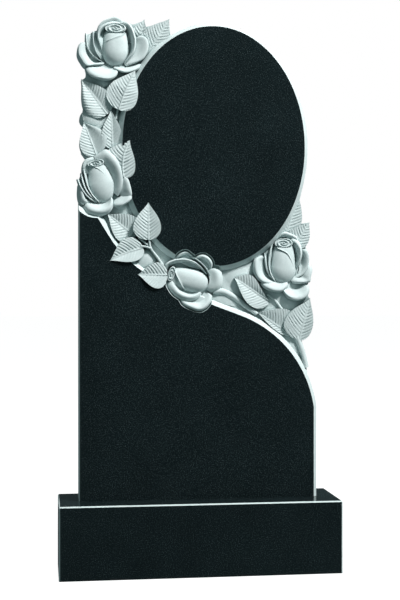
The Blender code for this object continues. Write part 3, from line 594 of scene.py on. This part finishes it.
def bud(name, rose, sink):
    """The bud, the petal wrapped over it, and the coiled whorl at its tip."""
    whole = np.linspace(0, 2 * math.pi, BUD_SPOKES, endpoint=False)
    yield cap(f"{name}_bud", bud_outline(rose, whole), rose.bud, lambda p: bud_lift(rose, p), BUD_RINGS, sink)
    yield sheet(f"{name}_wrap", wrap_grid(rose), sink - WRAP_SINK)

    across, up, long, short, turn = rose.whorl
    c, s = math.cos(math.radians(turn)), math.sin(math.radians(turn))
    ring = turned_ellipse((across, up), long, short, turn, WHORL_SPOKES)

    def coiled(points):
        off = points - (across, up)
        x = (off[:, 0] * c + off[:, 1] * s) / long
        y = (-off[:, 0] * s + off[:, 1] * c) / short
        reach = np.hypot(x, y)
        phase = WHORL_TURNS * reach - np.arctan2(y, x) / (2 * math.pi)
        ridge = (0.5 + 0.5 * np.cos(2 * math.pi * phase)) ** WHORL_SHARPNESS
        rounded = 1 - WHORL_RIM_FALL * np.clip((reach - WHORL_RIM) / (1 - WHORL_RIM), 0, 1)
        return WHORL_LIFT + WHORL_RIDGE * ridge * rounded

    yield cap(f"{name}_whorl", ring, (across, up), coiled, WHORL_RINGS, sink - WHORL_SINK)


def petal_grid(heart, petal):
    """Points of a petal from its root to its edge: it rises to a crest, rolls over and ends in a lip."""
    columns = max(PETAL_COLUMNS_LEAST, int(curve_length(petal.edge) / PETAL_PITCH))
    edge = spline(petal.edge, columns)
    heart = np.array(heart, float)
    away = edge - heart
    unit = away / np.linalg.norm(away, axis=1)[:, None]
    ends = np.abs(np.linspace(-1, 1, columns))
    fade = 1 - PETAL_DROOP * ends**3
    grid = np.zeros((PETAL_ROWS + len(LIP_ROUNDING), columns, 3))
    for r, s in enumerate(np.linspace(0, 1, PETAL_ROWS)):
        grid[r, :, :2] = heart + away * (petal.inner + (1 - petal.inner) * s)
        if s <= petal.share:
            rise = 0.5 - 0.5 * math.cos(math.pi * s / petal.share)
            lift = petal.root + (petal.crest - petal.root) * rise
        else:
            roll = (s - petal.share) / (1 - petal.share)
            lift = petal.crest + (petal.end - petal.crest) * roll**2
        grid[r, :, 2] = lift * fade
    for k, (out, drop) in enumerate(LIP_ROUNDING):
        grid[PETAL_ROWS + k, :, :2] = edge + unit * LIP_OUT * out
        grid[PETAL_ROWS + k, :, 2] = grid[PETAL_ROWS - 1, :, 2] - LIP_DROP * drop
    return grid


def groove(name, heart, petal, step):
    """A groove's cutter round a petal that stands over a polished face: its sides slope outwards."""
    edge = spline(petal.edge, max(GROOVE_COLUMNS_LEAST, int(curve_length(petal.edge) / GROOVE_PITCH)))
    heart = np.array(heart, float)
    away = edge - heart
    unit = away / np.linalg.norm(away, axis=1)[:, None]
    loops = []
    for grow, lift in ((GROOVE_INSET, GROOVE_BOTTOM + step), (GROOVE_WIDTH, LIFT_STEPS + step),
                       (GROOVE_WIDTH, LIFT_STEPS + ABOVE_FACE + step)):
        loops.append((np.vstack([edge + unit * grow, (heart + away * GROOVE_INNER)[::-1]]), lift))
    return stacked(name, loops)


def leaf_grid(leaf):
    """Points of a leaf: folded along its midrib, with veins that slant towards the tip."""
    foot, tip = np.array(leaf.foot, float), np.array(leaf.tip, float)
    along = tip - foot
    length = np.linalg.norm(along)
    left = np.array([-along[1], along[0]]) / length
    stations = np.linspace(*LEAF_ENDS, LEAF_STATIONS)
    s, t = np.meshgrid(stations, np.linspace(-1, 1, LEAF_ACROSS), indexing="ij")
    spine = np.interp(s, (0.0, 0.5, 1.0), leaf.lifts)
    lift = spine.copy()
    aside = np.zeros(s.shape)
    far = np.abs(t)
    for half, here in ((leaf.left, t > 0), (leaf.right, t <= 0)):
        swell = np.sin(math.pi * s ** (math.log(0.5) / math.log(half.widest)))
        width = half.reach * swell ** (LEAF_BLUNTNESS + LEAF_POINT * s**2)
        fold = (FOLD_STEEPNESS * far - (FOLD_STEEPNESS - 1) * far**2) ** half.hollow
        curled = np.clip((far - CURL_START) / (1 - CURL_START), 0, 1) ** 2
        rise = half.rise * np.sin(math.pi * s) ** LEAF_RISE_POWER * fold
        rise -= half.curl * np.sin(math.pi * s) * curled
        # Veins leave the midrib at a slant, and between them the blade swells a little.
        phase = (s * length - far * width * (VEIN_SLANT + VEIN_CURVE * far)) / VEIN_PITCH
        blade = np.abs(np.sin(math.pi * phase)) ** VEIN_ROUNDNESS - VEIN_LEVEL
        strength = np.clip(width / VEIN_TIP_FADE, 0, 1) * np.clip(far * width / VEIN_MIDRIB_FADE, 0, 1)
        strength *= 1 - VEIN_FADE * far**2
        strength *= 1 + VEIN_UNEVEN * np.sin(phase * VEIN_UNEVEN_PACE + leaf.foot[0])
        rise += VEIN_DEPTH * half.veins * blade * strength
        lift += np.where(here, rise, 0.0)
        aside += np.where(here, width * t, 0.0)
    # A rounded midrib stands in the fold, and the leaf bows a little to one side.
    lift += MIDRIB_HEIGHT * np.exp(-((aside / MIDRIB_WIDTH) ** 2)) * np.clip((1 - s) * MIDRIB_TAPER, 0, 1)
    aside += leaf.bow * 4 * s * (1 - s)
    grid = np.zeros((LEAF_STATIONS, LEAF_ACROSS, 3))
    grid[:, :, :2] = foot + along * s[:, :, None] + left * aside[:, :, None]
    grid[:, :, 2] = lift
    return grid


def stem_grid(route, half_widths, lift):
    """Points of a stem: a rounded ridge along its route."""
    line = spline(route, STEM_SECTIONS)
    along = np.gradient(line, axis=0)
    side = np.stack([-along[:, 1], along[:, 0]], axis=1)
    side /= np.linalg.norm(side, axis=1)[:, None]
    radius = np.linspace(*half_widths, STEM_SECTIONS)
    grid = np.zeros((STEM_SECTIONS, STEM_ACROSS, 3))
    for c, angle in enumerate(np.linspace(-math.pi / 2, math.pi / 2, STEM_ACROSS)):
        grid[:, c, :2] = line + side * (radius * math.sin(angle))[:, None]
        grid[:, c, 2] = lift - radius + radius * math.cos(angle)
    return grid


def carvings():
    """Every rose, leaf, stem and mound as a solid of its own, each sunk a little deeper than the last."""
    solids = []

    def sink():
        return SINK - SINK_STEP * len(solids)

    for name, rose in ROSES.items():
        for k, petal in enumerate(rose.petals):
            solids.append(sheet(f"{name}_petal_{k + 1}", petal_grid(rose.heart, petal), sink()))
        solids += list(bud(name, rose, sink() - BUD_SINK))
    for name, leaf in LEAVES.items():
        solids.append(sheet(name, leaf_grid(leaf), sink()))
    for name, (route, half_widths, lift) in STEMS.items():
        solids.append(sheet(name, stem_grid(route, half_widths, lift), sink()))
    for name, (across, up, long, short, turn, lift) in MOUNDS.items():
        ring = turned_ellipse((across, up), long, short, turn, MOUND_SPOKES)
        middle = np.array((across, up), float)

        def dome(points, middle=middle, long=long, lift=lift):
            far = np.linalg.norm(points - middle, axis=1) / long
            return lift * np.sqrt(np.maximum(0.0, 1 - far**2)) + MOUND_FOOT

        solids.append(cap(name, ring, middle, dome, MOUND_RINGS, sink()))
    return solids


def oval_loop(grow=0.0):
    """Points round the polished oval, moved out by a distance."""
    angle = np.linspace(0, 2 * math.pi, OVAL_SIDES, endpoint=False)
    return np.stack([OVAL_MIDDLE[0] + (OVAL_RADII[0] + grow) * np.cos(angle),
                     OVAL_MIDDLE[1] + (OVAL_RADII[1] + grow) * np.sin(angle)], axis=1)


def chamfer_steps():
    """The width of the slab's chamfer in steps across."""
    return SLAB_CHAMFER / SLAB_WIDTH * ACROSS_STEPS


def shoulder(grow, across):
    """The shoulder's arc, moved out by a distance, from the top of its sweep down to a point across."""
    radius = SHOULDER_RADIUS + grow
    end = math.acos(min(1.0, (across - SHOULDER_MIDDLE[0]) / radius))
    angle = np.linspace(math.radians(SHOULDER_SWEEP), end, SHOULDER_SIDES + 1)
    return np.stack([SHOULDER_MIDDLE[0] + radius * np.cos(angle),
                     SHOULDER_MIDDLE[1] + radius * np.sin(angle)], axis=1)


def panel_loop():
    """The polished panel's edge in steps, clockwise from its lower left corner."""
    right = ACROSS_STEPS - PANEL_RIGHT_INSET
    left = [(PANEL_LEFT_INSET, -ABOVE_FACE), (PANEL_LEFT_INSET, PANEL_LEFT_TOP), *PANEL_LEFT_DIP]
    upper = spline(PANEL_EDGE, PANEL_EDGE_POINTS)
    return np.vstack([left, upper, shoulder(0.0, right), [(right, -ABOVE_FACE)]])


def face_loops(loop, grow):
    """The sides of a polished face, from below the ground up: a sloping wall, a chamfer, then straight up."""
    chamfer = chamfer_steps()
    draft = WALL_DRAFT / SLAB_WIDTH * ACROSS_STEPS
    drop = SLAB_CHAMFER / RELIEF_DEPTH * LIFT_STEPS
    return [
        (grow(loop, chamfer + draft), -UNDER_RELIEF),
        (grow(loop, chamfer), LIFT_STEPS - drop),
        (loop, LIFT_STEPS),
        (loop, LIFT_STEPS + 2 * ABOVE_FACE),
    ]


def slab_outline():
    """The slab's outline in steps, anticlockwise from its lower left corner."""
    chamfer = chamfer_steps()
    oval = oval_loop(chamfer * OUTLINE_SHARE)
    angle = np.degrees(np.arctan2(oval[:, 1] - OVAL_MIDDLE[1], oval[:, 0] - OVAL_MIDDLE[0]))
    free = (angle > OVAL_OUTLINE[0]) & (angle < OVAL_OUTLINE[1])
    kept = oval[free][np.argsort(angle[free])]
    edge = shoulder(chamfer * OUTLINE_SHARE, ACROSS_STEPS)
    low = edge[edge[:, 1] < RIGHT_SIDE[0][1] - SHOULDER_CLEARANCE][::-1]
    return np.vstack([[(0, 0), (ACROSS_STEPS, 0)], low, RIGHT_SIDE, kept, LEFT_SIDE])


def boolean(obj, name, operation, operand):
    """Cuts or joins an object with another one, or with a whole collection."""
    modifier = obj.modifiers.new(name, "BOOLEAN")
    modifier.operation = operation
    # The exact solver leaves open edges among this many overlapping petals.
    modifier.solver = "MANIFOLD"
    if isinstance(operand, bpy.types.Collection):
        modifier.operand_type = "COLLECTION"
        modifier.collection = operand
    else:
        modifier.object = operand


def collected(name, objects):
    """A new collection with the given objects."""
    collection = bpy.data.collections.new(name)
    bpy.context.scene.collection.children.link(collection)
    for obj in objects:
        collection.objects.link(obj)
    return collection


def applied(obj):
    """Makes an object's modifiers permanent."""
    mesh = bpy.data.meshes.new_from_object(obj.evaluated_get(bpy.context.evaluated_depsgraph_get()))
    obj.modifiers.clear()
    obj.data = mesh


def without_slivers(obj):
    """Takes out the faces without area that the cuts leave along straight edges."""
    bm = bmesh.new()
    bm.from_mesh(obj.data)
    bmesh.ops.dissolve_degenerate(bm, dist=SLIVER, edges=bm.edges)
    bmesh.ops.triangulate(bm, faces=bm.faces)
    bm.to_mesh(obj.data)
    bm.free()


def polished_at(middles, normals):
    """Which faces of the slab are polished: the two raised faces and the back."""
    half = SLAB_THICKNESS / 2
    flat_front = (np.abs(middles[:, 1] + half) < FRONT_WITHIN) & (normals[:, 1] < -FRONT_NORMAL)
    flat_back = (middles[:, 1] > half - BACK_WITHIN) & (normals[:, 1] > BACK_NORMAL)
    return flat_front | flat_back


def bevelled_at(middles, normals):
    """Which faces of the slab are the chamfers round its two polished faces, where the painted shade is
    lighter.
    """
    lift = LIFT_STEPS * (1 - (middles[:, 1] + SLAB_THICKNESS / 2) / RELIEF_DEPTH)
    sloping = np.abs(normals[:, 1] + math.sqrt(0.5)) < SLOPE_WITHIN
    return sloping & (lift > LIFT_STEPS * (1 - SLAB_CHAMFER / RELIEF_DEPTH)) & (lift < LIFT_STEPS)


def carved_slab():
    """The slab with its carving, in one piece."""
    outline = slab_outline()
    back = LIFT_STEPS - SLAB_THICKNESS / RELIEF_DEPTH * LIFT_STEPS
    body = stacked("carved_slab", [(outline, back), (outline, LIFT_STEPS)])
    bpy.context.scene.collection.objects.link(body)

    low, high = outline.min(axis=0) - ABOVE_FACE, outline.max(axis=0) + ABOVE_FACE
    block = np.array([(low[0], low[1] - ABOVE_FACE), (high[0], low[1] - ABOVE_FACE), (high[0], high[1]),
                      (low[0], high[1])])
    ground_lift = LIFT_STEPS * (1 - GROUND_DEPTH / RELIEF_DEPTH)
    ground = stacked("carved_ground", [(block, ground_lift), (block, LIFT_STEPS + ABOVE_FACE)])
    oval = stacked("oval_face", face_loops(oval_loop(), lambda loop, by: oval_loop(by)))
    panel = stacked("panel_face", face_loops(panel_loop(), grown))
    faces = collected("polished_faces", [oval, panel])
    boolean(ground, "leave the oval", "DIFFERENCE", oval)
    boolean(ground, "leave the panel", "DIFFERENCE", panel)
    cut = collected("ground", [ground])
    grooves = collected("grooves", [groove(f"groove_{name}_{k}", rose.heart, petal, k * GROOVE_STEP)
                                    for name, rose in ROSES.items()
                                    for k, petal in enumerate(rose.petals) if petal.groove])
    carving = collected("carving", carvings())
    boolean(body, "cut the ground", "DIFFERENCE", cut)
    boolean(body, "cut the grooves", "DIFFERENCE", grooves)
    boolean(body, "leave the carving", "UNION", carving)
    applied(body)
    without_slivers(body)
    for collection in (faces, cut, grooves, carving):
        for obj in list(collection.objects):
            bpy.data.objects.remove(obj)
        bpy.data.collections.remove(collection)
    return body


def finished(body, polished, frosted, bevelled):
    """Gives the slab its finishes and its shading."""
    mesh = body.data
    mesh.materials.clear()
    for material in (polished, frosted, bevelled):
        mesh.materials.append(material)
    middles, normals = np.zeros((2, len(mesh.polygons) * 3))
    mesh.polygons.foreach_get("center", middles)
    mesh.polygons.foreach_get("normal", normals)
    where = middles.reshape(-1, 3), normals.reshape(-1, 3)
    index = np.where(polished_at(*where), POLISHED, np.where(bevelled_at(*where), BEVELLED, FROSTED))
    mesh.polygons.foreach_set("material_index", index.astype(np.int32))
    mesh.shade_smooth()
    mesh.set_sharp_from_angle(angle=math.radians(SHARP_DEGREES))


def base_block(polished, frosted):
    """The base block, with a fine frosted chamfer round its top and down its corners."""
    bm = bmesh.new()
    bmesh.ops.create_cube(bm, size=1.0)
    bmesh.ops.scale(bm, vec=(BASE_WIDTH, BASE_DEPTH, BASE_HEIGHT), verts=bm.verts)
    bmesh.ops.translate(bm, vec=(0, 0, BASE_HEIGHT / 2), verts=bm.verts)
    upper = [e for e in bm.edges if max(v.co.z for v in e.verts) > BASE_HEIGHT / 2]
    made = bmesh.ops.bevel(bm, geom=upper, offset=BASE_CHAMFER, segments=1, affect="EDGES", profile=0.5)
    for face in made["faces"]:
        face.material_index = FROSTED
    bmesh.ops.recalc_face_normals(bm, faces=bm.faces)
    mesh = bpy.data.meshes.new("base_block")
    bm.to_mesh(mesh)
    bm.free()
    mesh.materials.append(polished)
    mesh.materials.append(frosted)
    block = bpy.data.objects.new("base_block", mesh)
    bpy.context.scene.collection.objects.link(block)
    return block


def mixed(tree, share, first, second, blend):
    """The result of a new Mix node for colours, from values or from other nodes' sockets."""
    mix = tree.nodes.new("ShaderNodeMix")
    mix.data_type = "RGBA"
    mix.blend_type = blend
    for index, value in ((MIX_SHARE, share), (MIX_FIRST, first), (MIX_SECOND, second)):
        if isinstance(value, bpy.types.NodeSocket):
            tree.links.new(value, mix.inputs[index])
        else:
            mix.inputs[index].default_value = value
    return mix.outputs[MIX_RESULT]


class Nodes:
    """A new material's node tree, with short calls for adding nodes and links."""

    def __init__(self, name):
        self.material = bpy.data.materials.new(name)
        self.material.use_nodes = True
        self.tree = self.material.node_tree
        self.shader = self.tree.nodes["Principled BSDF"]

    def add(self, kind, **inputs):
        """A new node with its inputs set or linked. An underscore stands for a space in an input's name."""
        node = self.tree.nodes.new("ShaderNode" + kind)
        for key, value in inputs.items():
            socket = node.inputs[key.replace("_", " ")]
            if isinstance(value, bpy.types.NodeSocket):
                self.tree.links.new(value, socket)
            else:
                socket.default_value = value
        return node

    def link(self, source, name):
        self.tree.links.new(source, self.shader.inputs[name])

    def noise(self, scale, detail, roughness):
        """Noise that stays in place on the object."""
        where = self.add("TexCoord").outputs["Object"]
        node = self.add("TexNoise", Vector=where, Scale=scale, Detail=detail, Roughness=roughness)
        return node.outputs["Fac"]

    def ramp(self, value, *stops):
        """Colours over a value, from stops of a position and a colour."""
        ramp = self.add("ValToRGB", Fac=value)
        elements = ramp.color_ramp.elements
        while len(elements) < len(stops):
            elements.new(0.5)
        for element, (position, colour) in zip(elements, stops):
            element.position = position
            element.color = (*colour, 1.0)
        return ramp.outputs["Color"]

    def multiplied(self, first, second):
        return mixed(self.tree, 1.0, first, second, "MULTIPLY")


def polished_granite():
    """Black granite with fine grey grains, under a polish with a faint unevenness."""
    nodes = Nodes("polished_granite")
    grains = nodes.ramp(
        nodes.noise(scale=430, detail=2.0, roughness=0.75),
        (0.35, (0.0040, 0.0082, 0.0092)),
        (0.56, (0.0066, 0.0125, 0.0140)),
        (0.70, (0.0560, 0.0740, 0.0760)),
    )
    clouds = nodes.ramp(
        nodes.noise(scale=9, detail=3.0, roughness=0.5),
        (0.3, (0.85, 0.85, 0.85)),
        (0.7, (1.15, 1.15, 1.15)),
    )
    nodes.link(nodes.multiplied(grains, clouds), "Base Color")
    unevenness = nodes.noise(scale=40, detail=3.0, roughness=0.6)
    rough = nodes.add("MapRange", Value=unevenness, To_Min=0.08, To_Max=0.16)
    nodes.link(rough.outputs["Result"], "Roughness")
    nodes.shader.inputs["Specular IOR Level"].default_value = 0.5
    return nodes.material


def frosted_granite(name, deepest, deep):
    """The same granite cut and frosted: pale, matt and finely pitted. Painted shade darkens and tints its
    recesses and crevices by ambient occlusion, in the colours deepest and deep."""
    nodes = Nodes(name)
    pits = nodes.noise(scale=900, detail=4.0, roughness=0.75)
    grains = nodes.ramp(
        pits,
        (0.30, (0.56, 0.65, 0.645)),
        (0.55, (0.70, 0.785, 0.78)),
        (0.75, (0.80, 0.86, 0.855)),
    )
    clouds = nodes.ramp(
        nodes.noise(scale=45, detail=3.0, roughness=0.6),
        (0.3, (0.88, 0.90, 0.90)),
        (0.7, (1.0, 1.0, 1.0)),
    )
    # Painted shade: ambient occlusion darkens and tints the carving's recesses and crevices, where shade
    # falls.
    openness = nodes.add("AmbientOcclusion", Distance=GROUND_DEPTH)
    openness.samples = 8
    painted_hollow_shade = nodes.ramp(openness.outputs["AO"], (0.15, deepest), (0.42, deep), (0.75, (1.0, 1.0, 1.0)))
    nodes.link(nodes.multiplied(nodes.multiplied(grains, clouds), painted_hollow_shade), "Base Color")
    nodes.shader.inputs["Roughness"].default_value = 0.85
    nodes.shader.inputs["Specular IOR Level"].default_value = 0.25
    bump = nodes.add("Bump", Strength=0.25, Distance=0.0004, Height=pits)
    nodes.link(bump.outputs["Normal"], "Normal")
    return nodes.material


def floor():
    """A plain white floor. It doesn't throw its light back up at the stone."""
    mesh = bpy.data.meshes.new("floor")
    corners = [(x * FLOOR_HALF, y * FLOOR_HALF, 0) for x, y in ((-1, -1), (1, -1), (1, 1), (-1, 1))]
    mesh.from_pydata(corners, [], [(0, 1, 2, 3)])
    obj = bpy.data.objects.new("floor", mesh)
    bpy.context.scene.collection.objects.link(obj)
    obj.visible_diffuse = False
    obj.visible_glossy = False
    nodes = Nodes("floor")
    nodes.shader.inputs["Base Color"].default_value = (0.16, 0.16, 0.16, 1.0)
    nodes.shader.inputs["Roughness"].default_value = 0.9
    nodes.shader.inputs["Emission Color"].default_value = (1.0, 1.0, 1.0, 1.0)
    nodes.shader.inputs["Emission Strength"].default_value = 0.97
    mesh.materials.append(nodes.material)


def area_light(name, place_at, aim, size, power, shine):
    """A square lamp that faces its aim. Without shine, the polish doesn't mirror it."""
    data = bpy.data.lights.new(name, "AREA")
    data.shape = "SQUARE"
    data.size = size
    data.energy = power
    light = bpy.data.objects.new(name, data)
    light.location = place_at
    light.visible_glossy = shine
    away = np.array(place_at) - np.array(aim)
    flat = math.hypot(away[0], away[1])
    light.rotation_euler = (math.pi / 2 - math.atan2(away[2], flat), 0, math.atan2(away[0], -away[1]))
    bpy.context.scene.collection.objects.link(light)


def studio():
    """Soft light from high in front and behind, in a room that is dim but for the white behind the stone."""
    area_light("key", place_at=(2.3, -2.5, 4.9), aim=(0, 0, 1.0), size=0.9, power=430, shine=True)
    area_light("back", place_at=(-0.4, 2.6, 3.6), aim=(0, 0, 0.9), size=1.6, power=60, shine=False)
    world = bpy.data.worlds.new("studio")
    world.use_nodes = True
    tree = world.node_tree
    background = tree.nodes["Background"]
    rays = tree.nodes.new("ShaderNodeLightPath")
    colour = (0.115, 0.160, 0.162, 1.0)
    # The polish mirrors a darker room, and the camera sees plain white.
    for ray, other in (("Is Glossy Ray", (0.035, 0.050, 0.052, 1.0)),
                       ("Is Camera Ray", (1.0, 1.0, 1.0, 1.0))):
        colour = mixed(tree, rays.outputs[ray], colour, other, "MIX")
    tree.links.new(colour, background.inputs["Color"])
    background.inputs["Strength"].default_value = 1.0
    bpy.context.scene.world = world
    bpy.context.scene.view_settings.view_transform = "Standard"


def camera():
    """The photograph's view: a little to the left of the stone, level with its middle."""
    data = bpy.data.cameras.new("camera")
    data.lens = CAMERA_LENS
    data.sensor_width = CAMERA_SENSOR
    obj = bpy.data.objects.new("camera", data)
    obj.location = CAMERA_PLACE
    obj.rotation_euler = (math.radians(90 + CAMERA_PITCH), 0, math.radians(CAMERA_TURN))
    bpy.context.scene.collection.objects.link(obj)
    bpy.context.scene.camera = obj


polished = polished_granite()
# Painted shade in both: the chamfers' copy darkens its recesses less, so that they look lit down to their
# foot.
frosted = frosted_granite("frosted_granite", deepest=(0.04, 0.06, 0.064), deep=(0.45, 0.52, 0.52))
bevelled = frosted_granite("bevelled_granite", deepest=(0.55, 0.60, 0.60), deep=(0.92, 0.94, 0.94))
slab = carved_slab()
finished(slab, polished, frosted, bevelled)
base = base_block(polished, frosted)
for piece, node in ((slab, "slab"), (base, "base")):
    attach(piece, "root")
    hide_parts(node)
floor()
studio()
camera()
